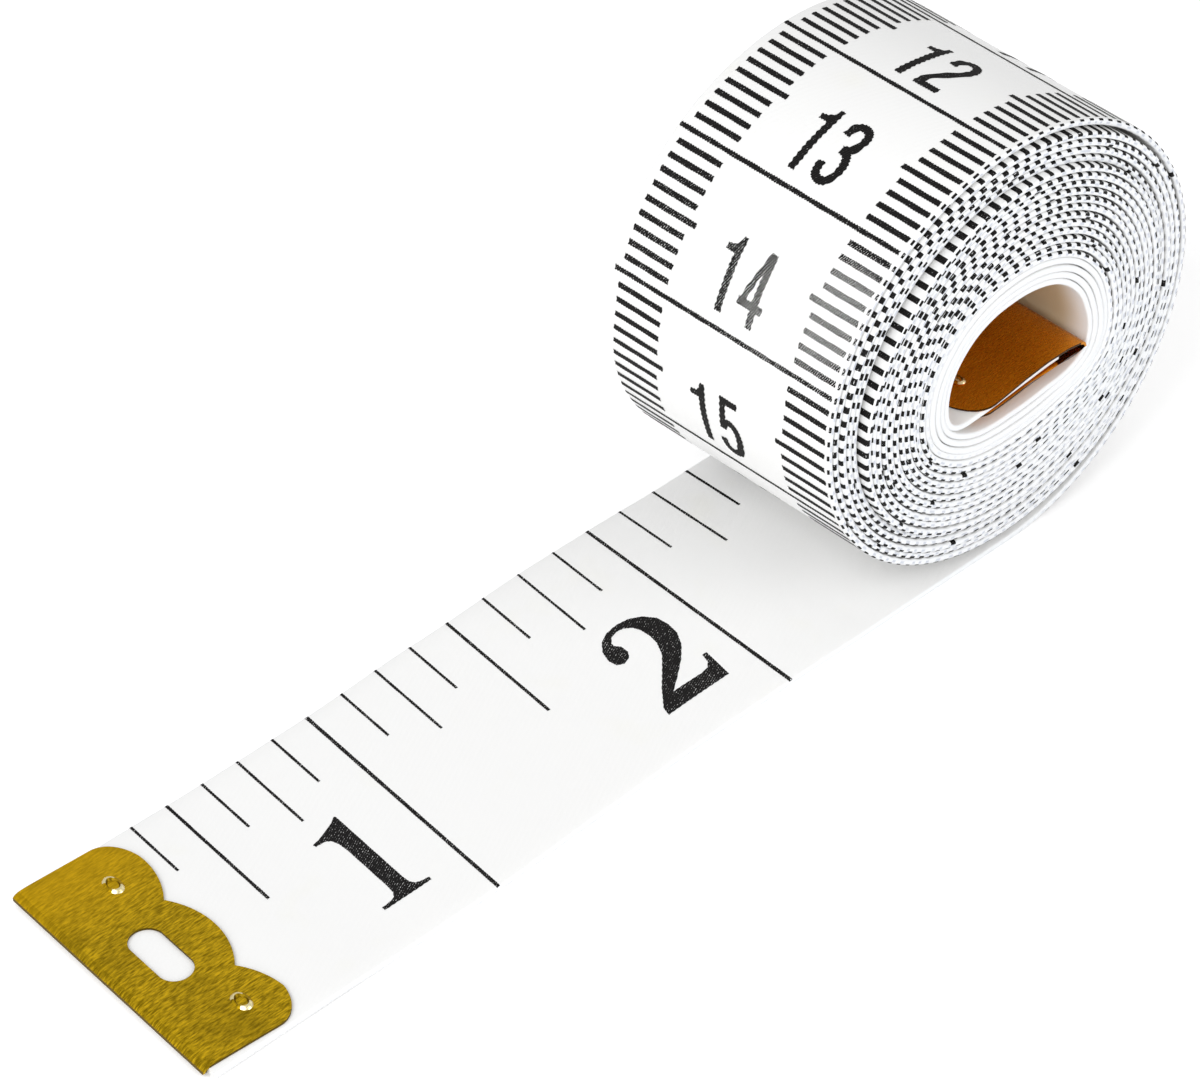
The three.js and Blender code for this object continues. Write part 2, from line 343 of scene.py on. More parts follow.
def tapeStrip(name, start, end, section):
    stations = stationsBetween(start, end)
    points, places, faces = [], [], []
    count = len(section)
    for place in stations:
        for across, rise in section:
            points.append(tapePoint(place, across, rise))
            places.append((place, across, rise))
    for index in range(len(stations) - 1):
        low, high = index * count, (index + 1) * count
        for corner in range(count):
            following = (corner + 1) % count
            faces.append((low + corner, high + corner, high + following, low + following))
    faces.append(tuple(range(count)))
    faces.append(tuple(reversed(range(len(points) - count, len(points)))))
    made = meshObject(name, points, faces, places)
    # the cut ends stay crisp, so that no shade shows where two lengths meet
    ends = {frozenset(key) for face in made.data.polygons[-2:] for key in face.edge_keys}
    for edge in made.data.edges:
        edge.use_edge_sharp = frozenset(edge.vertices) in ends
    shape = bmesh.new()
    shape.from_mesh(made.data)
    bmesh.ops.recalc_face_normals(shape, faces=shape.faces)
    shape.to_mesh(made.data)
    shape.free()
    return made


# Materials
def nodeOf(tree, kind, at, **settings):
    made = tree.nodes.new(kind)
    made.location = at
    for key, value in settings.items():
        setattr(made, key, value)
    return made


def feed(tree, socket, value):
    # an output is joined to the socket, and a number or a colour is set on it
    if isinstance(value, bpy.types.NodeSocket):
        tree.links.new(value, socket)
    elif socket.type == "RGBA":
        socket.default_value = (*value, 1)
    else:
        socket.default_value = value


def feedAll(tree, node, values):
    for label, value in values.items():
        feed(tree, node.inputs[label], value)


def mathNode(tree, operation, at, *values):
    made = nodeOf(tree, "ShaderNodeMath", at, operation=operation)
    for socket, value in zip(made.inputs, values):
        feed(tree, socket, value)
    return made.outputs[0]


def product(tree, at, first, *others):
    for step, other in enumerate(others):
        first = mathNode(tree, "MULTIPLY", (at[0] + 150 * step, at[1]), first, other)
    return first


def mixColor(tree, at, factor, first, second):
    made = nodeOf(tree, "ShaderNodeMix", at, data_type="RGBA")
    for index, value in ((0, factor), (6, first), (7, second)):
        feed(tree, made.inputs[index], value)
    return made.outputs[2]


def ranged(tree, at, value, fromEnds=(0.0, 1.0), toEnds=(0.0, 1.0), kind="LINEAR"):
    made = nodeOf(tree, "ShaderNodeMapRange", at, interpolation_type=kind)
    feedAll(tree, made, {"Value": value, "From Min": fromEnds[0], "From Max": fromEnds[1],
                         "To Min": toEnds[0], "To Max": toEnds[1]})
    return made.outputs[0]


def noise(tree, at, vector, scale, detail, roughness=0.5):
    made = nodeOf(tree, "ShaderNodeTexNoise", at)
    feedAll(tree, made, {"Vector": vector, "Scale": scale, "Detail": detail, "Roughness": roughness})
    return made.outputs["Fac"]


def bumped(tree, height, strength, distance):
    made = nodeOf(tree, "ShaderNodeBump", (160, -300))
    feedAll(tree, made, {"Height": height, "Strength": strength, "Distance": distance})
    return made.outputs[0]


def splitVector(tree, at, vector):
    made = nodeOf(tree, "ShaderNodeSeparateXYZ", at)
    feed(tree, made.inputs[0], vector)
    return made.outputs


def newGroup(name, inputs, outputs):
    group = bpy.data.node_groups.new(name, "ShaderNodeTree")
    for label, kind, value in inputs:
        socket = group.interface.new_socket(label, in_out="INPUT", socket_type=kind)
        if value is not None:
            socket.default_value = value
    for label in outputs:
        group.interface.new_socket(label, in_out="OUTPUT", socket_type="NodeSocketFloat")
    entry = nodeOf(group, "NodeGroupInput", (-1400, 0))
    leave = nodeOf(group, "NodeGroupOutput", (600, 0))
    return group, entry.outputs, leave


def makeStrandGroup():
    # slanting strands of the coated glass cloth, from places on the tape in mm
    group, given, leave = newGroup(
        "clothStrands", [("Place", "NodeSocketVector", None), ("Pitch", "NodeSocketFloat", 0.19)],
        ("Strands", "Patches", "Weft"))
    axes = splitVector(group, (-1200, 0), given["Place"])
    slow = noise(group, (-1200, 260), given["Place"], 1.6, 3)
    along = mathNode(group, "MULTIPLY", (-1000, 40), axes["X"], tape["strand"][0])
    slant = mathNode(group, "MULTIPLY_ADD", (-820, 40), axes["Y"], tape["strand"][1], along)
    bent = mathNode(group, "MULTIPLY_ADD", (-640, 60), slow, 0.16, slant)
    across = mathNode(group, "MULTIPLY", (-1000, 400), axes["Y"], tape["crossing"][1])
    crossing = mathNode(group, "MULTIPLY_ADD", (-820, 400), axes["X"], tape["crossing"][0], across)
    waves = []
    for height, value in ((60, bent), (400, crossing)):
        counted = mathNode(group, "DIVIDE", (-460, height), value, given["Pitch"])
        turned = mathNode(group, "MULTIPLY", (-380, height), counted, 2 * math.pi)
        waves.append(mathNode(group, "SINE", (-280, height), turned))
    fine = noise(group, (-640, -200), given["Place"], 9.0, 4)
    feedAll(group, leave, {"Strands": mathNode(group, "MULTIPLY_ADD", (-120, 40), waves[0], 0.22, fine),
                           "Patches": noise(group, (-640, -460), given["Place"], 0.22, 2), "Weft": waves[1]})
    return group


def makeScratchGroup():
    # long brushed scratches and dull blotches on brass, along X
    group, given, leave = newGroup(
        "brushedScratches", [("Position", "NodeSocketVector", None), ("Density", "NodeSocketFloat", 1.0)],
        ("Scratches", "Blotches"))
    layers = []
    for height, degrees, scale, detail, roughness in ((100, -12, (1300, 6900, 900), 5, 0.62),
                                                      (-220, 7, (2600, 11000, 900), 3, 0.5)):
        turned = nodeOf(group, "ShaderNodeMapping", (-1200, height))
        feedAll(group, turned, {"Vector": given["Position"], "Rotation": (0, 0, math.radians(degrees)),
                                "Scale": scale})
        layers.append(noise(group, (-1000, height), turned.outputs[0], 1.0, detail, roughness))
    summed = mathNode(group, "MULTIPLY_ADD", (-780, 0), layers[1], 0.5, layers[0])
    centred = mathNode(group, "SUBTRACT", (-700, 0), summed, 0.75)
    feedAll(group, leave, {"Scratches": mathNode(group, "MULTIPLY", (-600, 0), centred, given["Density"]),
                           "Blotches": noise(group, (-1000, -480), given["Position"], 210, 3)})
    return group


strandGroup = makeStrandGroup()
scratchGroup = makeScratchGroup()


def newMaterial(name):
    material = bpy.data.materials.new(name)
    material.use_nodes = True
    tree = material.node_tree
    shader = tree.nodes["Principled BSDF"]
    shader.location = (500, 0)
    return material, tree, shader


def newTapeMaterial(name, pitch):
    # its patterns follow the places on the tape
    material, tree, shader = newMaterial(name)
    places = nodeOf(tree, "ShaderNodeAttribute", (-1500, 0), attribute_name="tapePlace").outputs["Vector"]
    strands = nodeOf(tree, "ShaderNodeGroup", (-1300, 300), node_tree=strandGroup)
    feedAll(tree, strands, {"Place": places, "Pitch": pitch})
    return material, tree, shader, splitVector(tree, (-1300, 0), places), strands.outputs


coatLook = {
    "white": (0.885, 0.885, 0.88),
    # edge faces: the coat's white with a painted cool shade
    "edgeCoolShade": (0.87, 0.885, 0.905),
    "edgeDash": (0.60, 0.63, 0.70),
    "handled": (0.86, 0.85, 0.77),
    "paintedBrassReflection": (0.60, 0.49, 0.30),  # painted warm reflection of the brass tip, with painted shade, on the innermost turn's inner face
    "strandPitch": 0.38,
    "dashPitch": 0.92,          # mm between the web's threads where they show in the edge
    "dashFrom": (66.0, 80.0),   # they show from here on
    "roughness": 0.42,
}


def makeCoat():
    material, tree, shader, place, strands = newTapeMaterial("whiteVinylCoat", coatLook["strandPitch"])
    # how near the edge: 1 on the edge face
    edge = ranged(tree, (-940, -160), mathNode(tree, "ABSOLUTE", (-1120, -160), place["Y"]), (9.86, 9.98))
    # threads in the edge, as broken dashes, from the roll's foot to where the winding is blank
    turned = mathNode(tree, "MULTIPLY_ADD", (-1120, -340), strands["Patches"], 3.0, place["X"])
    turned = mathNode(tree, "MULTIPLY", (-1030, -340), turned, 2 * math.pi / coatLook["dashPitch"])
    dash = ranged(tree, (-760, -340), mathNode(tree, "SINE", (-940, -340), turned), (0.05, 0.75))
    web = ranged(tree, (-940, -540), mathNode(tree, "ABSOLUTE", (-1120, -540), place["Z"]), (0.13, 0.03))
    wound = ranged(tree, (-760, -720), place["X"], coatLook["dashFrom"])
    blank = ranged(tree, (-760, -900), place["X"], (blankFrom + 25, blankFrom - 10))
    marks = product(tree, (-560, -420), dash, web, edge, wound, blank)
    # the inner face of the last turn, deep in the core: a painted reflection of the brass tip and painted
    # shade, strongest towards the near edge
    reflectionFrom = placeAfter(roll["turns"] - 1.0)
    last = ranged(tree, (-760, -1080), place["X"], (reflectionFrom, reflectionFrom + 6))
    beforeBend = ranged(tree, (-760, -1260), place["X"], (innerCut - 1, innerCut - 9))
    faceIn = ranged(tree, (-940, -1080), place["Z"], (0.1, 0.2))
    deep = ranged(tree, (-940, -1260), place["Y"], (-10.0, -7.2), (0.0, 0.9), "SMOOTHSTEP")
    paintedBrassReflection = product(tree, (-560, -1160), last, beforeBend, faceIn, deep)
    handled = ranged(tree, (-940, 300), strands["Patches"], (0.6, 0.85), (0.0, 0.4))
    base = mixColor(tree, (-560, 260), handled, coatLook["white"], coatLook["handled"])
    # the edge faces are given a painted cool shade
    sided = mixColor(tree, (-360, 160), edge, base, coatLook["edgeCoolShade"])
    dashed = mixColor(tree, (-160, 60), marks, sided, coatLook["edgeDash"])
    rough = ranged(tree, (-160, -160), strands["Strands"],
                   toEnds=(coatLook["roughness"] - 0.08, coatLook["roughness"] + 0.1))
    feedAll(tree, shader, {"Base Color": mixColor(tree, (0, 160), paintedBrassReflection, dashed, coatLook["paintedBrassReflection"]),
                           "Roughness": rough, "Normal": bumped(tree, strands["Strands"], 0.35, 0.00002)})
    shader.inputs["IOR"].default_value = 1.46
    return material


inkLook = {
    "dark": (0.004, 0.004, 0.004),
    "soft": (0.02, 0.018, 0.018),
    "bare": (0.62, 0.62, 0.61),
    "strandPitch": 0.155,
    "wornMiddle": 136.5,        # mm along the scale where the ink is rubbed, and how far that reaches
    "wornReach": (7.6, 2.0),
    "worn": 0.25,
    "wornAcross": (5.0, -5.5),  # rubbed most towards the near edge
    "leadSpeckle": 0.07,        # the bold inch numerals are more speckled
    "roughness": 0.5,
}


def makeInk():
    material, tree, shader, place, strands = newTapeMaterial("brokenBlackInk", inkLook["strandPitch"])
    fromMiddle = mathNode(tree, "SUBTRACT", (-1200, -200), place["X"], inkLook["wornMiddle"])
    away = mathNode(tree, "ABSOLUTE", (-1100, -200), fromMiddle)
    worn = ranged(tree, (-920, -200), away, inkLook["wornReach"], (0.0, inkLook["worn"]), "SMOOTHSTEP")
    nearSide = ranged(tree, (-920, -420), place["Y"], inkLook["wornAcross"], (0.3, 1.0), "SMOOTHSTEP")
    # strands that hold less ink
    hatch = mathNode(tree, "MULTIPLY_ADD", (-820, 240), strands["Weft"], 0.35, 1.0)
    holes = mathNode(tree, "MULTIPLY_ADD", (-700, 100), hatch, product(tree, (-820, -300), worn, nearSide),
                     strands["Strands"])
    lead = ranged(tree, (-920, 480), place["X"], (62.0, 55.0), (0.0, inkLook["leadSpeckle"]))
    speckled = mathNode(tree, "ADD", (-640, 300), holes, lead)
    sparse = mathNode(tree, "MULTIPLY_ADD", (-560, 100), strands["Patches"], 0.16, speckled)
    bare = ranged(tree, (-380, 100), sparse, (0.90, 1.0), kind="SMOOTHSTEP")
    soft = ranged(tree, (-380, -140), strands["Strands"], (0.3, 0.85))
    dark = mixColor(tree, (-160, -60), soft, inkLook["dark"], inkLook["soft"])
    rough = ranged(tree, (40, -200), strands["Strands"],
                   toEnds=(inkLook["roughness"], inkLook["roughness"] + 0.2))
    feedAll(tree, shader, {"Base Color": mixColor(tree, (40, 40), bare, dark, inkLook["bare"]),
                           "Roughness": rough})
    shader.inputs["Specular IOR Level"].default_value = 0.1
    return material


brassLook = {
    # the dark colour marks cut edges, their own dark line with painted shade, and paints shade on the fold's
    # nose and dimples; the pale one is a painted highlight on the clinches
    "outer": {"bright": (0.86, 0.555, 0.014), "deep": (0.31, 0.195, 0.002), "tarnish": (0.22, 0.14, 0.002),
              "orange": (0.80, 0.47, 0.006), "cut": (0.12, 0.075, 0.004), "glint": (1.0, 0.88, 0.5),
              "roughness": 0.36, "density": 1.0},
    "inner": {"bright": (0.78, 0.29, 0.012), "deep": (0.66, 0.235, 0.009), "tarnish": (0.42, 0.14, 0.005),
              "orange": (0.70, 0.25, 0.006), "cut": (0.05, 0.018, 0.001), "glint": (0.9, 0.72, 0.4),
              "roughness": 0.24, "density": 0.25},
}


def makeBrass(name, look):
    material, tree, shader = newMaterial(name)
    position = nodeOf(tree, "ShaderNodeTexCoord", (-1500, 0)).outputs["Object"]
    scratch = nodeOf(tree, "ShaderNodeGroup", (-1300, 0), node_tree=scratchGroup)
    feedAll(tree, scratch, {"Position": position, "Density": look["density"]})
    streak = ranged(tree, (-1080, 60), scratch.outputs["Scratches"], (-0.15, 0.17))
    base = mixColor(tree, (-860, 120), streak, look["deep"], look["bright"])
    # warmer towards the far side, with blotches
    axes = splitVector(tree, (-1300, -300), position)
    warm = ranged(tree, (-1080, -300), axes["Y"], (0.003, 0.0105), (0.0, 0.7))
    warmed = mixColor(tree, (-640, 60), warm, base, look["orange"])
    dull = ranged(tree, (-1080, -520), scratch.outputs["Blotches"], (0.52, 0.74), (0.0, 0.55))
    dulled = mixColor(tree, (-420, 0), dull, warmed, look["tarnish"])
    # cut edges are darkened, their own dark line with painted shade along it, the fold's nose and the dimples
    # get painted shade, and the clinch lips and dots get a pale painted highlight
    edgeShadeAndGlintMark = nodeOf(tree, "ShaderNodeAttribute", (-1300, 400), attribute_name="cutSide").outputs["Fac"]
    darker = mathNode(tree, "MAXIMUM", (-420, 400), edgeShadeAndGlintMark, 0.0)
    glintMask = mathNode(tree, "MAXIMUM", (-420, 560), mathNode(tree, "MULTIPLY", (-560, 560), edgeShadeAndGlintMark, -1.0), 0.0)
    cutColor = mixColor(tree, (-220, 0), darker, dulled, look["cut"])
    rough = ranged(tree, (-420, -240), streak, toEnds=(look["roughness"] - 0.06, look["roughness"] + 0.14))
    smoother = mathNode(tree, "MULTIPLY_ADD", (-220, -240), glintMask, -0.16, rough)
    bump = bumped(tree, scratch.outputs["Scratches"], 0.5 * look["density"], 0.00003)
    feedAll(tree, shader, {"Base Color": mixColor(tree, (-40, 100), glintMask, cutColor, look["glint"]),
                           "Roughness": smoother, "Normal": bump})
    shader.inputs["Metallic"].default_value = 1.0
    return material


coatMaterial = makeCoat()
inkMaterial = makeInk()
outerBrassMaterial = makeBrass("outerBrass", brassLook["outer"])
innerBrassMaterial = makeBrass("innerBrass", brassLook["inner"])
print("materials made")


# The tape in lengths, the wound one riding the roll and the others laid in place: places where they are cut
cuts = {"roll": 57.0, "near": 41.0, "middle": 25.0}

tapeOuter = tapeStrip("tape_outer_length", tape["start"], cuts["middle"], leadSection)
tapeMiddle = tapeStrip("tape_middle_length", cuts["middle"], cuts["near"], leadSection)
tapeNear = tapeStrip("tape_near_length", cuts["near"], cuts["roll"], leadSection)
tapeRoll = tapeStrip("tape_wound_length", cuts["roll"], innerCut, woundSection)
tapeInner = tapeStrip("tape_inner_length", innerCut, tapeEndPlace, woundSection)
tapePieces = (tapeOuter, tapeMiddle, tapeNear, tapeRoll, tapeInner)
for piece in tapePieces:
    piece.data.materials.append(coatMaterial)
print("tape made:", sum(len(piece.data.polygons) for piece in tapePieces), "faces")


def blendLead(piece):
    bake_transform(piece)


def blendInner(piece):
    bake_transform(piece)


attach(tapeRoll, "roll")
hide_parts("wound_tape")
blendLead(tapeNear)
blendLead(tapeMiddle)
blendLead(tapeOuter)
blendInner(tapeInner)
for piece, node in ((tapeNear, "lead_near"), (tapeMiddle, "lead_middle"), (tapeOuter, "lead_outer"),
                    (tapeInner, "inner_end")):
    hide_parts(*(node + layer for layer in ("_centimetre_coat", "_glass_web", "_inch_coat")))


# Ink: thin shapes a hair above the coat, cut out in (place along, place across) and laid on the tape
inkSizes = {
    "rise": 0.016,
    "jag": 0.05,                # the strands break the outlines by this much
    "jagPitch": 0.2,
    "jagStep": 0.075,
    "insidePitch": 0.37,        # between the points inside wide shapes, so that they follow the bent tape
    "millimetreWidth": 0.4,
    "centimetreWidth": 0.33,
    "tickFrom": 5.66,           # across, from the middle of the tape
    "halfTickFrom": 5.1,
    "tickTo": 9.64,
    "shoulderDash": [9.87, 10.03],
    "edgeDash": [8.7, 9.84, 10.03],
    "boldTurns": [5.54, 5.74],  # where the turns part, the marks in the edge reach further
    "boldReach": 0.16,
    "numeralGapToLine": 1.1,
    "numeralGap": 0.95,
    "numeralShift": 0.18,
    "numeralBar": 0.6,
}


def edgePlace(across, side):
    # across and rise for a distance from the tape's middle, measured over the rounded edge
    half, thick, rounding = tape["width"] / 2, tape["thickness"] / 2, tape["edgeRounding"]
    flat = half - rounding
    sign = 1 if across >= 0 else -1
    over = abs(across) - flat
    lift = inkSizes["rise"]
    if over <= 0:
        return across, side * (thick + lift)
    angle = over / rounding
    if angle < math.pi / 2:
        reach = rounding + lift
        return sign * (flat + reach * math.sin(angle)), side * (thick - rounding + reach * math.cos(angle))
    return sign * (half + lift), side * (thick - rounding - (over - rounding * math.pi / 2))


def jagged(place, across):
    strand = (tape["strand"][0] * place + tape["strand"][1] * across) / inkSizes["jagPitch"]
    saw = 2 * abs(2 * (strand - math.floor(strand + 0.5))) - 1
    slow = math.sin(place * 2.1 + across * 3.3) * 0.5 + math.sin(place * 5.7 - across * 1.7) * 0.3
    return inkSizes["jag"] * (saw + 0.45 * slow)


def broken(outline, jag=1.0):
    # the outline in short steps, each moved in or out as the strands take the ink
    made = []
    count = len(outline)
    for index in range(count):
        a, b = outline[index], outline[(index + 1) % count]
        length = math.hypot(b[0] - a[0], b[1] - a[1])
        if length < 1e-6:
            continue
        steps = max(1, round(length / inkSizes["jagStep"]))
        normal = ((b[1] - a[1]) / length, -(b[0] - a[0]) / length)
        for step in range(steps):
            share = step / steps
            x, y = between(a[0], b[0], share), between(a[1], b[1], share)
            move = jagged(x, y) * jag
            made.append((x + normal[0] * move, y + normal[1] * move))
    return made


class InkSheet:
    def __init__(self):
        self.points, self.places, self.faces = [], [], []

    def add(self, outlines, side, jag=1.0):
        # outlines that overlap are one shape
        flat, loops = [], []
        for outline in outlines:
            area = sum(a[0] * b[1] - b[0] * a[1] for a, b in zip(outline, outline[1:] + outline[:1]))
            ordered = outline if area > 0 else list(reversed(outline))
            edge = broken(ordered, jag) if jag else ordered
            loops.append(list(range(len(flat), len(flat) + len(edge))))
            flat.extend(edge)
        (low, left), (high, right) = (tuple(pick(point[axis] for point in flat) for axis in (0, 1))
                                      for pick in (min, max))
        pitch = inkSizes["insidePitch"]
        if min(high - low, right - left) > 2 * pitch:
            flat.extend((low + (row + 0.5) * pitch, left + (column + 0.5) * pitch)
                        for row in range(int((high - low) / pitch))
                        for column in range(int((right - left) / pitch)))
        made = delaunay_2d_cdt([Vector(point) for point in flat], [], loops, 1, 1e-6)
        inked = [tuple(face) for face, within in zip(made[2], made[5]) if within]
        used = sorted({index for face in inked for index in face})
        renumbered = {index: order for order, index in enumerate(used)}
        self.lay([tuple(made[0][index]) for index in used],
                 [tuple(renumbered[index] for index in face) for face in inked], side)

    def addGrid(self, places, acrosses, side):
        # a plain patch, in rows across so that it can wrap over the edge
        points = [(place, across) for across in acrosses for place in places]
        wide = len(places)
        corners = [row * wide + column for row in range(len(acrosses) - 1) for column in range(wide - 1)]
        faces = [(corner, corner + 1, corner + 1 + wide, corner + wide) for corner in corners]
        self.lay(points, faces, side)

    def lay(self, points, faces, side):
        start = len(self.points)
        for place, across in points:
            shifted, rise = edgePlace(across, side)
            self.points.append(tapePoint(place, shifted, rise))
            self.places.append((place, across, side * 1.0))
        for face in faces:
            a, b, c = (points[face[index]] for index in range(3))
            turn = (b[0] - a[0]) * (c[1] - b[1]) - (b[1] - a[1]) * (c[0] - b[0])
            # the inch side (side 1) faces along the rise, the centimetre side against it
            face = face if (turn > 0) == (side > 0) else tuple(reversed(face))
            self.faces.append(tuple(start + index for index in face))

    def piece(self, name):
        made = meshObject(name, self.points, self.faces, self.places, smooth=False)
        made.data.materials.append(inkMaterial)
        return made


def strokeOutline(points, width):
    # a bar of even width along a line of points, with square ends
    left, right = [], []
    for index, point in enumerate(points):
        before = points[max(0, index - 1)]
        after = points[min(len(points) - 1, index + 1)]
        length = math.hypot(after[0] - before[0], after[1] - before[1])
        nx, ny = -(after[1] - before[1]) / length, (after[0] - before[0]) / length
        left.append((point[0] + nx * width / 2, point[1] + ny * width / 2))
        right.append((point[0] - nx * width / 2, point[1] - ny * width / 2))
    return left + list(reversed(right))


def smoothLine(points, steps=6):
    made = []
    for index in range(len(points) - 1):
        p0 = points[max(0, index - 1)]
        p1, p2 = points[index], points[index + 1]
        p3 = points[min(len(points) - 1, index + 2)]
        for step in range(steps):
            t = step / steps
            made.append(tuple(
                0.5 * (2 * p1[axis] + (p2[axis] - p0[axis]) * t
                       + (2 * p0[axis] - 5 * p1[axis] + 4 * p2[axis] - p3[axis]) * t * t
                       + (3 * p1[axis] - p0[axis] - 3 * p2[axis] + p3[axis]) * t ** 3) for axis in (0, 1)))
    made.append(points[-1])
    return made


# Numerals of the centimetre scale, in mm from their lower left corner: bars as lines, blocks as outlines
numerals = {
    "0": {"wide": 2.1, "bars": [[(1.05, 4.82), (1.62, 4.5), (1.82, 3.6), (1.84, 1.5), (1.62, 0.6),
                                 (1.05, 0.28)],
                                [(1.05, 4.82), (0.48, 4.5), (0.28, 3.6), (0.26, 1.5), (0.48, 0.6),
                                 (1.05, 0.28)]]},
    "1": {"wide": 1.5, "blocks": [[(0.92, 0), (1.48, 0), (1.48, 5.1), (1.12, 5.1), (0.98, 4.62), (0.66, 4.36),
                                   (0.2, 4.28), (0.2, 3.86), (0.92, 3.86)]]},
    "2": {"wide": 2.1, "bars": [[(0.3, 3.55), (0.4, 4.35), (0.95, 4.82), (1.55, 4.6), (1.8, 3.9), (1.6, 3.05),
                                 (1.0, 2.0), (0.5, 1.15), (0.34, 0.3)]],
          "blocks": [[(0.06, 0), (2.06, 0), (2.06, 0.55), (0.06, 0.55)]]},
    "3": {"wide": 2.1, "bars": [[(0.3, 3.75), (0.45, 4.5), (1.0, 4.82), (1.6, 4.55), (1.76, 3.85), (1.5, 3.05),
                                 (0.85, 2.75)],
                                [(0.85, 2.75), (1.5, 2.5), (1.84, 1.6), (1.62, 0.6), (1.02, 0.28), (0.45, 0.6),
                                 (0.28, 1.45)]]},
    "4": {"wide": 2.15, "blocks": [[(1.18, 0), (1.72, 0), (1.72, 5.1), (1.18, 5.1)],
                                   [(0.04, 1.15), (2.15, 1.15), (2.15, 1.7), (0.04, 1.7)],
                                   [(0.04, 1.3), (0.55, 1.3), (1.5, 4.9), (1.16, 5.1)]]},
    "5": {"wide": 2.1, "blocks": [[(0.42, 4.55), (1.95, 4.55), (1.95, 5.1), (0.42, 5.1)],
                                  [(0.22, 2.3), (0.76, 2.3), (0.92, 5.0), (0.42, 5.0)]],
          "bars": [[(0.5, 2.5), (0.8, 2.95), (1.25, 3.05), (1.7, 2.6), (1.84, 1.7), (1.62, 0.65), (1.05, 0.28),
                    (0.48, 0.55), (0.28, 1.3)]]},
    "6": {"wide": 2.1, "bars": [[(1.76, 3.85), (1.58, 4.55), (1.05, 4.82), (0.5, 4.3), (0.28, 3.1), (0.27, 1.6),
                                 (0.5, 0.55), (1.05, 0.28)],
                                [(1.05, 0.28), (1.62, 0.6), (1.84, 1.55), (1.62, 2.55), (1.1, 2.9), (0.55, 2.6),
                                 (0.34, 1.9)]]},
    "7": {"wide": 2.1, "bars": [[(1.78, 4.8), (1.35, 3.7), (0.95, 2.2), (0.78, 0.0)]],
          "blocks": [[(0.1, 4.55), (2.06, 4.55), (2.06, 5.1), (0.1, 5.1)]]},
    "8": {"wide": 2.1, "bars": [[(1.05, 4.82), (1.6, 4.55), (1.76, 3.85), (1.5, 3.05), (1.05, 2.78)],
                                [(1.05, 4.82), (0.5, 4.55), (0.34, 3.85), (0.6, 3.05), (1.05, 2.78)],
                                [(1.05, 2.78), (1.6, 2.5), (1.84, 1.55), (1.62, 0.6), (1.05, 0.28)],
                                [(1.05, 2.78), (0.5, 2.5), (0.26, 1.55), (0.48, 0.6), (1.05, 0.28)]]},
    "9": {"wide": 2.1, "bars": [[(0.34, 1.25), (0.52, 0.55), (1.05, 0.28), (1.6, 0.8), (1.82, 2.0), (1.83, 3.5),
                                 (1.6, 4.55), (1.05, 4.82)],
                                [(1.05, 4.82), (0.48, 4.5), (0.26, 3.55), (0.48, 2.55), (1.0, 2.2), (1.55, 2.5),
                                 (1.76, 3.2)]]},
}

# Numerals of the inch scale: bold with feet, in mm from the middle line's foot, outlines drawn right way up
inchNumerals = {
    "1": [(-1.98, -6.77), (-1.98, -6.48), (-1.2, -6.42), (-0.82, -6.27), (-0.62, -5.95), (-0.56, -5.3),
          (-0.55, -1.2), (-0.62, -0.4), (-0.82, 0.1), (-1.15, 0.36), (-1.9, 0.42), (-1.95, 0.64), (-0.9, 0.92),
          (0.15, 1.35), (0.62, 1.66), (0.72, 1.6), (0.7, -5.3), (0.78, -5.95), (1.0, -6.27), (1.4, -6.42),
          (1.98, -6.48), (1.98, -6.77)],
    "2": [(-2.75, -6.78), (-2.6, -6.1), (-1.6, -4.75), (-0.3, -3.3), (0.55, -2.3), (0.98, -1.3), (1.08, -0.5),
          (0.98, 0.3), (0.72, 0.86), (0.2, 1.22), (-0.35, 1.3), (-0.95, 1.1), (-1.3, 0.72), (-1.32, 0.42),
          (-1.0, 0.05), (-0.98, -0.6), (-1.3, -1.1), (-1.85, -1.28), (-2.35, -1.05), (-2.52, -0.4),
          (-2.3, 0.5), (-1.75, 1.2), (-0.9, 1.66), (0.1, 1.8), (1.1, 1.66), (1.95, 1.2), (2.55, 0.45),
          (2.72, -0.5), (2.6, -1.5), (2.1, -2.5), (1.2, -3.5), (-0.1, -4.6), (-1.15, -5.4), (1.35, -5.42),
          (1.9, -5.3), (2.25, -4.95), (2.42, -4.2), (2.78, -4.2), (2.52, -6.7), (-1.2, -6.74)],
}

# Printed places drift along the web: inches by their place on the lead, centimetres by how far they lie on
inchScale = {
    "places": [[0.0, -0.6], [0.375, 9.38], [0.5, 12.34], [1.0, 24.23], [1.375, 33.46], [1.5, 36.78],
               [2.0, 50.09], [2.25, 56.4], [3.0, 75.4], [70.0, 1777.2]],
    "width": {"eighth": 0.2, "quarter": 0.2, "half": 0.24, "inch": 0.28},
    "from": {"eighth": 4.9, "quarter": 2.9, "half": -0.85, "inch": -9.98},  # across, up to the far edge
    "to": 9.98,
    "endSteps": [9.2, 9.84, 9.94, 10.04, 10.12],  # a line's end, wrapped over the edge
    "numeralFoot": {"1": [19.4, 0.2], "2": [45.2, 0.0]},
}
centimetreDrift = [[0, 0.0], [60, 0.3], [118, 0.38], [130, 0.46], [140, 0.68], [150, 1.4], [2000, 1.4]]
centimetreSide = [[85, 0.0], [112, -0.35], [143, -0.35], [150, 0.15], [160, 0.3]]  # and sideways, in mm

# Which marks are made, counted from each scale's zero
printed = {
    "millimetresFrom": 9,
    "shouldersFrom": 72,        # past this the outer turn's marks show on its near edge too
    "eighths": [3, 24],
    "edgeInchesFrom": 4,
    "inch": 25.4,
}


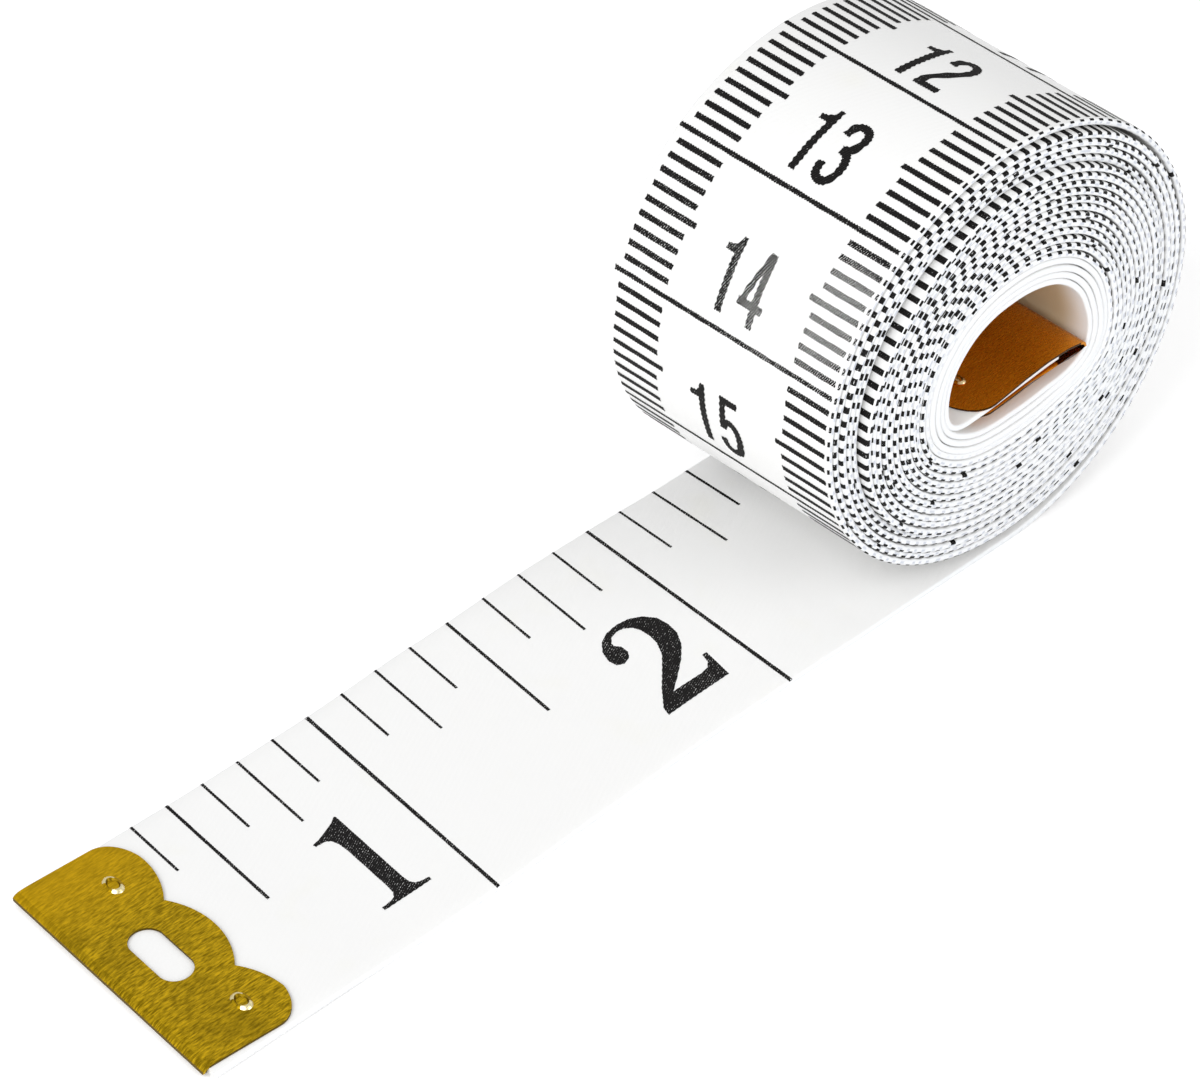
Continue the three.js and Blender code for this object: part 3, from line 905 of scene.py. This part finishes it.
def inchPlace(inches):
    knots = inchScale["places"]
    index = max(1, min(len(knots) - 1, bisect.bisect_left([knot[0] for knot in knots], inches)))
    (low, lowPlace), (high, highPlace) = knots[index - 1], knots[index]
    return between(lowPlace, highPlace, (inches - low) / (high - low))


def centimetrePlace(millimetres):
    return millimetres + listedValue(centimetreDrift, millimetres)


def placedNumeral(number, line):
    # outlines of a centimetre number that stands before its line, its top towards the zero
    text = str(number)
    gap = inkSizes["numeralGap"]
    wide = sum(numerals[digit]["wide"] for digit in text) + gap * (len(text) - 1)
    left = inkSizes["numeralShift"] + wide / 2
    foot = line - inkSizes["numeralGapToLine"]
    sideways = listedValue(centimetreSide, line)
    outlines = []
    for digit in text:
        shape = numerals[digit]
        drawn = list(shape.get("blocks", [])) + [strokeOutline(smoothLine(bar), inkSizes["numeralBar"])
                                                 for bar in shape.get("bars", [])]
        for outline in drawn:
            outlines.append([(foot - y, left - x + sideways) for x, y in outline])
        left -= shape["wide"] + gap
    return outlines


def addBar(sheet, place, half, low, high, side, jag=1.0):
    corners = [(place - half, low), (place + half, low), (place + half, high), (place - half, high)]
    sheet.add([corners], side, jag)


def addCentimetre(sheet, number):
    line = centimetrePlace(number * 10)
    addBar(sheet, line, inkSizes["centimetreWidth"] / 2, -inkSizes["tickTo"], tape["width"] / 2 - 0.16, -1)
    sheet.add(placedNumeral(number, line), -1)


def addMillimetre(sheet, count):
    place = centimetrePlace(count)
    reach = inkSizes["halfTickFrom"] if count % 5 == 0 else inkSizes["tickFrom"]
    half = inkSizes["millimetreWidth"] / 2
    sideways = listedValue(centimetreSide, place)
    addBar(sheet, place, half, -inkSizes["tickTo"], sideways - reach, -1, 0.7)
    addBar(sheet, place, half, sideways + reach, inkSizes["tickTo"] + sideways, -1, 0.7)


def addShoulder(sheet, count, onOuterTurn):
    # the ends of a millimetre mark where they wrap over the edges, of which the outer turn shows the near one
    place = centimetrePlace(count)
    wobble = 0.5 + 0.5 * math.sin(count * 12.9898)
    half = inkSizes["millimetreWidth"] / 2 * (0.95 + 0.25 * wobble)
    if onOuterTurn:
        low, high = inkSizes["shoulderDash"]
        steps = [low, (low + high) / 2, high]
    else:
        first, low, high = inkSizes["edgeDash"]
        boldFrom, boldTo = inkSizes["boldTurns"]
        high += 0.1 * wobble + (inkSizes["boldReach"] if boldFrom < pathAt(place)[3] < boldTo else 0.0)
        steps = [first, low, (low + high) / 2, high]
    for sign in (-1,) if onOuterTurn else (-1, 1):
        sheet.addGrid([place - half, place + half], [sign * step for step in steps], -1)


def addInchMark(sheet, eighths):
    kinds = (("inch", 8), ("half", 4), ("quarter", 2), ("eighth", 1))
    kind = next(name for name, step in kinds if eighths % step == 0)
    addBar(sheet, inchPlace(eighths / 8), inchScale["width"][kind] / 2, inchScale["from"][kind],
           inchScale["to"], 1, 0.45)


def addInchEnd(sheet, inches):
    place = inchPlace(inches)
    half = inchScale["width"]["inch"] / 2 + 0.1
    for sign in (-1, 1):
        sheet.addGrid([place - half, place + half], [sign * step for step in inchScale["endSteps"]], 1)


def partOf(place):
    if place < cuts["middle"]:
        return "outer"
    if place < cuts["near"]:
        return "middle"
    return "near" if place < cuts["roll"] else "roll"


sheets = {part: {"centimetre": InkSheet(), "inch": InkSheet()} for part in ("outer", "middle", "near", "roll")}
edgeSheet = InkSheet()
outerTurnEnd = placeAfter(roll["outerMarksEnd"])
for count in range(printed["millimetresFrom"], int(outerTurnEnd) + 1):
    sheet = sheets[partOf(count)]["centimetre"]
    if count > printed["shouldersFrom"]:
        addShoulder(sheet, count, True)
    if count % 10 == 0:
        addCentimetre(sheet, count // 10)
    else:
        addMillimetre(sheet, count)
for count in range(int(outerTurnEnd) + 1, int(blankFrom)):
    addShoulder(edgeSheet, count, False)
for inches in range(printed["edgeInchesFrom"], int(blankFrom / printed["inch"])):
    addInchEnd(edgeSheet, inches)
for eighths in range(*printed["eighths"]):
    addInchMark(sheets[partOf(inchPlace(eighths / 8))]["inch"], eighths)
for text, outline in inchNumerals.items():
    foot, sideways = inchScale["numeralFoot"][text]
    shape = [(foot + x, y + sideways) for x, y in outline]
    sheets[partOf(foot)]["inch"].add([shape], 1, 0.4)

for part, faces in sheets.items():
    for scale, sheet in faces.items():
        if not sheet.faces:
            continue
        piece = sheet.piece("ink_" + part + "_" + scale)
        if part == "roll":
            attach(piece, "roll")
        else:
            blendLead(piece)
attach(edgeSheet.piece("ink_wound_edges"), "roll")
print("ink laid:", sum(len(sheet.faces) for faces in sheets.values() for sheet in faces.values())
      + len(edgeSheet.faces), "faces")

# Brass tips, folded from one thin plate each
tipShapes = {
    "outer_tip_plate": {
        "node": "outer_tip", "body": "outer_lead", "slot": "outer_brass", "plate": 0.17,
        # the plate's middle from its lower edge round the fold to its upper edge: x and z
        "profile": [[-59.6, 0.1], [-67.1, 0.1], [-67.9, 0.11], [-68.32, 0.15], [-68.56, 0.23], [-68.66, 0.36],
                    [-68.64, 0.5], [-68.5, 0.62], [-68.24, 0.7], [-67.8, 0.735], [-67.1, 0.745],
                    [-59.6, 0.745]],
        "width": 20.3, "middle": -0.08, "skew": 0.1, "turn": -0.07, "turnFrom": -62.3, "lowerShare": 0.97,
        "end": -68.74, "straight": 5.95, "lobeReach": 6.5,
        "lobeMiddle": 1.62, "lobes": [7.1, -0.4, -8.1], "cornerReach": [2.2, 3.2],
        "window": [-64.83, -0.45, 2.45, 5.45], "clinches": [[-63.45, 6.55, 0.745], [-63.45, -7.05, 0.745]],
        "clinchReach": 0.74},
    "inner_tip_plate": {
        "node": "inner_tip", "body": "inner_end", "slot": "inner_brass", "plate": 0.16,
        "profile": [[-4.6, 12.99], [-2.2, 13.02], [-0.4, 13.12], [1.7, 13.32], [3.2, 13.44], [4.2, 13.42],
                    [5.1, 13.3], [5.8, 13.3], [6.25, 13.46], [6.45, 13.74], [6.36, 14.02], [6.0, 14.22],
                    [4.8, 14.42], [2.9, 14.46], [0.8, 14.26], [-1.0, 13.97], [-2.6, 13.76], [-4.6, 13.5]],
        "width": 20.0, "middle": -1.2, "skew": 0.0, "turn": 0.0, "turnFrom": 0.0, "lowerShare": 0.97,
        "end": 6.5, "straight": -8.4, "lobeReach": 5.046,
        "lobeMiddle": 5.6, "lobes": [5.33, -1.2, -7.73], "cornerReach": [2.2, 3.2],
        "window": None, "clinches": [[-1.9, -7.75, 13.89], [-1.9, 5.35, 13.89]], "clinchReach": 0.52},
}


def deselectAll():
    bpy.ops.object.select_all(action="DESELECT")


def useOnly(piece):
    deselectAll()
    piece.select_set(True)
    bpy.context.view_layer.objects.active = piece


def applied(piece, kind, **settings):
    useOnly(piece)
    modifier = piece.modifiers.new(kind.title(), kind)
    for key, value in settings.items():
        setattr(modifier, key, value)
    bpy.ops.object.modifier_apply(modifier=modifier.name)


def settled(piece):
    useOnly(piece)
    bpy.ops.object.transform_apply(location=True, rotation=True, scale=True)


def chooseInEdit(piece, kind, test):
    # goes into edit mode, with the corners, edges or faces chosen that pass the test
    bpy.ops.object.mode_set(mode="EDIT")
    bpy.ops.mesh.select_mode(type=kind)
    bpy.ops.mesh.select_all(action="DESELECT")
    shapeMesh = bmesh.from_edit_mesh(piece.data)
    for part in {"VERT": shapeMesh.verts, "EDGE": shapeMesh.edges, "FACE": shapeMesh.faces}[kind]:
        part.select_set(test(part))
    bmesh.update_edit_mesh(piece.data)


def combined(piece, other, operation):
    # the other block is used up
    applied(piece, "BOOLEAN", operation=operation, solver="EXACT", object=other)
    bpy.data.objects.remove(other)


def flatBlock(low, high, middle, wide, level, height):
    deselectAll()
    bpy.ops.mesh.primitive_cube_add(size=1, location=((low + high) / 2 * mm, middle * mm, level * mm))
    block = bpy.context.active_object
    block.scale = (abs(high - low) * mm, wide * mm, height * mm)
    settled(block)
    return block


def roundBlock(x, y, level, radius, height, sides=96, stretch=(1, 1)):
    deselectAll()
    bpy.ops.mesh.primitive_cylinder_add(vertices=sides, radius=radius * mm, depth=height * mm,
                                        location=(x * mm, y * mm, level * mm))
    block = bpy.context.active_object
    block.scale = (*stretch, 1)
    settled(block)
    return block


def foldedPlate(name, shape):
    # one edge of a narrow strip is drawn on along the profile
    profile = shape["profile"]
    (x0, z0), (x1, _) = profile[0], profile[1]
    deselectAll()
    bpy.ops.mesh.primitive_plane_add(size=1, location=(x0 * mm, shape["middle"] * mm, z0 * mm))
    plate = bpy.context.active_object
    plate.name = name
    plate.scale = (0.0001, shape["width"] * mm, 1)
    settled(plate)
    ahead = 1 if x1 > x0 else -1
    chooseInEdit(plate, "EDGE", lambda edge: all(vert.co.x * ahead > x0 * mm * ahead for vert in edge.verts))
    for (ax, az), (bx, bz) in zip(profile, profile[1:]):
        bpy.ops.mesh.extrude_region_move(TRANSFORM_OT_translate={"value": ((bx - ax) * mm, 0, (bz - az) * mm)})
    bpy.ops.object.mode_set(mode="OBJECT")
    applied(plate, "SOLIDIFY", thickness=shape["plate"] * mm, offset=0, use_even_offset=True)
    return plate


def lobedCutter(shape):
    # a block up to the lobes, and three rounds. Heights differ, so that no two tops lie in one plane.
    end, inboard = shape["end"], 1 if shape["straight"] > 0 else -1
    middle, width = shape["middle"], shape["width"]
    outer = end - inboard * 1.5
    lobeLine = end + inboard * shape["lobeMiddle"]
    cornerX = end + shape["straight"]
    level = (shape["profile"][0][1] + shape["profile"][-1][1]) / 2
    height = 6.0
    block = flatBlock(outer, lobeLine + inboard * 0.013, middle, width + 1, level, height)
    for lobe in shape["lobes"]:
        height -= 0.3
        combined(block, roundBlock(lobeLine, lobe, level, shape["lobeReach"], height), "UNION")
    # the sides stop the outer lobes, and their corners are rounded
    reachX, reachY = shape["cornerReach"]
    height = 8.0
    sides = flatBlock(outer, cornerX, middle, width, level, height)
    narrow = flatBlock(outer - inboard * 0.1, cornerX + inboard * 6, middle, width - 2 * reachY, level,
                       height - 0.3)
    combined(sides, narrow, "UNION")
    for side in (-1, 1):
        height -= 0.5
        place = middle + side * (width / 2 - reachY)
        corner = roundBlock(cornerX, place, level, 1, height, stretch=(reachX, reachY))
        combined(sides, corner, "UNION")
    combined(block, sides, "INTERSECT")
    return block


def cutWindow(plate, window):
    # a round block drawn out across the tape
    x, y, wide, long = window
    far = y + (long - wide) / 2
    cutter = roundBlock(x, far, 0, wide / 2, 6, 64)
    chooseInEdit(cutter, "VERT", lambda vert: vert.co.y < far * mm)
    bpy.ops.transform.translate(value=(0, (wide - long) * mm, 0))
    bpy.ops.object.mode_set(mode="OBJECT")
    combined(plate, cutter, "DIFFERENCE")


# A clinch: a raised ring round a dimple with a dot in it. Its parts are shares of its reach.
clinchShape = {
    "oval": (0.86, 1.25),       # along the tape and across it, against its round form
    "height": 0.2,              # mm, and how deep its middle lies in the plate
    "sink": 0.03,
    "steps": [(0.14, 0.1), (0.12, 0.06), (0.1, 0.0), (0.1, -0.08), (0.1, -0.12), (0.08, -0.02), (0.06, 0.07),
              (0.07, 0.03)],    # each inset and the rise after it
    "rise": 1.7,
    "lip": (0.55, 0.6),         # its middle's height, and what its two ends add
    # the lip's painted highlight reaches to one share, the dimple's painted shade out to another
    "rim": 1.03, "glintLip": 0.97, "dimple": 0.62, "dot": 0.28,
}


def clinch(place, reach):
    # a round block, inset and moved in steps
    x, y, z = place
    ring = roundBlock(x, y, z - clinchShape["sink"], reach, clinchShape["height"], 40)
    chooseInEdit(ring, "FACE", lambda face: face.normal.z > 0.9)
    for inset, rise in clinchShape["steps"]:
        bpy.ops.mesh.inset(thickness=inset * reach * mm)
        bpy.ops.transform.translate(value=(0, 0, rise * reach * clinchShape["rise"] * mm))
    bpy.ops.object.mode_set(mode="OBJECT")
    (wideX, wideY), (low, more) = clinchShape["oval"], clinchShape["lip"]
    for vert in ring.data.vertices:
        fromMiddle = vert.co.y - y * mm
        vert.co.y = y * mm + fromMiddle * wideY
        vert.co.x = x * mm + (vert.co.x - x * mm) * wideX
        if vert.co.z > z * mm:
            vert.co.z = z * mm + (vert.co.z - z * mm) * (low + more * abs(fromMiddle) / (reach * mm))
    return ring


def wearOf(face, shape, middleZ):
    # 1 where the brass is darkened: cut edges, their own dark line with painted shade, and painted shade on the
    #                                fold's nose and in the dimples; down to -1 for the painted highlight on the
    #                                clinch lips and dots
    x, y, z = face.center
    wideX, wideY = clinchShape["oval"]
    inRing, across = min(
        (math.hypot((x / mm - ringX) / wideX, (y / mm - ringY) / wideY) / shape["clinchReach"],
         abs(y / mm - ringY) > 0.9 * abs(x / mm - ringX))
        for ringX, ringY, _ in shape["clinches"])
    # in a clinch: painted highlights on the lip's two ends and on the dot, painted shade on the lip's sides and
    # in the dimple
    if inRing < clinchShape["rim"]:
        if inRing > clinchShape["dimple"]:
            return -1.0 if across and inRing < clinchShape["glintLip"] else 0.25
        return 0.8 if inRing > clinchShape["dot"] else -1.0
    fromEnd = abs(x - shape["end"] * mm)
    if fromEnd < 0.34 * mm:  # the fold's nose: painted shade, strongest on its lower half
        return 1.0 if z < middleZ + 0.02 * mm else 0.2
    # cut edges: their own dark line, with painted shade along it
    cutEdge = abs(face.normal.y) > 0.7 or (abs(face.normal.z) < 0.5 and fromEnd > 1.5 * mm)
    return 1.0 if cutEdge else 0.0


def makeTip(name, material):
    shape = tipShapes[name]
    plate = foldedPlate(name, shape)
    combined(plate, lobedCutter(shape), "INTERSECT")
    if shape["window"]:
        cutWindow(plate, shape["window"])
    applied(plate, "BEVEL", width=0.035 * mm, segments=2, limit_method="ANGLE", angle_limit=math.radians(50))
    rings = [clinch(place, shape["clinchReach"]) for place in shape["clinches"]]
    deselectAll()
    for piece in rings + [plate]:
        piece.select_set(True)
    bpy.context.view_layer.objects.active = plate
    bpy.ops.object.join()
    middleZ = sum(point[1] for point in shape["profile"]) / len(shape["profile"]) * mm
    cut = plate.data.attributes.new("cutSide", "FLOAT", "FACE")
    for face in plate.data.polygons:
        cut.data[face.index].value = wearOf(face, shape, middleZ)
    for vert in plate.data.vertices:
        # the lower plate is a little narrower, and the whole sits askew
        below = smoothShare((middleZ - vert.co.z) / (0.3 * mm))
        fromMiddle = vert.co.y - shape["middle"] * mm
        vert.co.y -= fromMiddle * (1 - shape["lowerShare"]) * below
        vert.co.x += shape["skew"] * vert.co.y
        vert.co.y += shape["turn"] * (vert.co.x - shape["turnFrom"] * mm)
    plate.data.update()
    useOnly(plate)
    bpy.ops.object.shade_smooth_by_angle(angle=math.radians(38))
    applied(plate, "WEIGHTED_NORMAL", keep_sharp=True)
    plate.data.materials.clear()
    plate.data.materials.append(material)
    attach(plate, shape["body"])
    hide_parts(shape["node"])
    return plate


outerTip = makeTip("outer_tip_plate", outerBrassMaterial)
innerTip = makeTip("inner_tip_plate", innerBrassMaterial)
print("tips folded:", len(outerTip.data.polygons), "and", len(innerTip.data.polygons), "faces")

# Table, light and camera
stageLook = {"size": 6.0, "color": (0.92, 0.92, 0.92), "glow": 0.27, "sky": 0.62}


def makeFloor():
    bpy.ops.mesh.primitive_plane_add(size=stageLook["size"], location=(0, 0, 0))
    floor = bpy.context.active_object
    floor.name = "floor"
    material, tree, shader = newMaterial("palePaper")
    path = nodeOf(tree, "ShaderNodeLightPath", (-600, -300))
    seen = mathNode(tree, "ADD", (-400, -300), path.outputs["Is Camera Ray"], path.outputs["Is Glossy Ray"])
    seenToo = mathNode(tree, "ADD", (-240, -300), seen, path.outputs["Is Transmission Ray"])
    glow = mathNode(tree, "MULTIPLY", (-80, -300), seenToo, stageLook["glow"])
    feedAll(tree, shader, {"Base Color": stageLook["color"], "Roughness": 0.9, "Specular IOR Level": 0.1,
                           "Emission Color": (1, 1, 1), "Emission Strength": glow})
    floor.data.materials.append(material)


def makeWorld():
    world = bpy.data.worlds.new("studio")
    bpy.context.scene.world = world
    world.use_nodes = True
    tree = world.node_tree
    background = tree.nodes["Background"]
    path = nodeOf(tree, "ShaderNodeLightPath", (-800, 200))
    seen = mathNode(tree, "ADD", (-600, 200), path.outputs["Is Camera Ray"],
                    path.outputs["Is Transmission Ray"])
    whole = mathNode(tree, "MINIMUM", (-440, 200), seen, 1.0)
    strength = mathNode(tree, "MULTIPLY_ADD", (-280, 200), whole, 1.0 - stageLook["sky"], stageLook["sky"])
    feedAll(tree, background, {"Color": (1, 1, 1), "Strength": strength})


def makeSoftbox(name, location, target, size, power):
    light = bpy.data.lights.new(name, "AREA")
    light.shape = "RECTANGLE"
    light.size, light.size_y = size
    light.energy = power
    lamp = bpy.data.objects.new(name, light)
    bpy.context.scene.collection.objects.link(lamp)
    lamp.location = location
    lamp.rotation_mode = "QUATERNION"
    lamp.rotation_quaternion = (Vector(target) - Vector(location)).to_track_quat("-Z", "Y")


cameraLook = {
    "location": (-267.382, -261.143, 312.121),
    "right": (0.718604, -0.694861, -0.027852),
    "up": (0.465423, 0.450795, 0.761686),
    "lens": 220.04,
}


def makeCamera():
    camera = bpy.data.cameras.new("camera")
    camera.lens = cameraLook["lens"]
    camera.sensor_width = 36
    camera.sensor_fit = "HORIZONTAL"
    camera.clip_start = 0.01
    camera.clip_end = 20
    holder = bpy.data.objects.new("camera", camera)
    bpy.context.scene.collection.objects.link(holder)
    right, up = Vector(cameraLook["right"]), Vector(cameraLook["up"])
    place = [value * mm for value in cameraLook["location"]]
    holder.matrix_world = Matrix([*zip(right, up, right.cross(up), place), (0, 0, 0, 1)])
    bpy.context.scene.camera = holder


makeFloor()
makeWorld()
makeSoftbox("softbox_key", (-0.48, -0.02, 0.46), (0, 0, 0.01), (0.5, 0.4), 1.68)
makeSoftbox("softbox_fill", (0.15, -0.55, 0.35), (0, 0, 0.015), (0.5, 0.4), 1.45)
makeSoftbox("softbox_low", (-0.5, -0.2, 0.18), (-0.02, 0, 0.01), (0.4, 0.25), 0.55)
makeCamera()
bpy.context.scene.view_settings.view_transform = "Standard"
print("stage set")
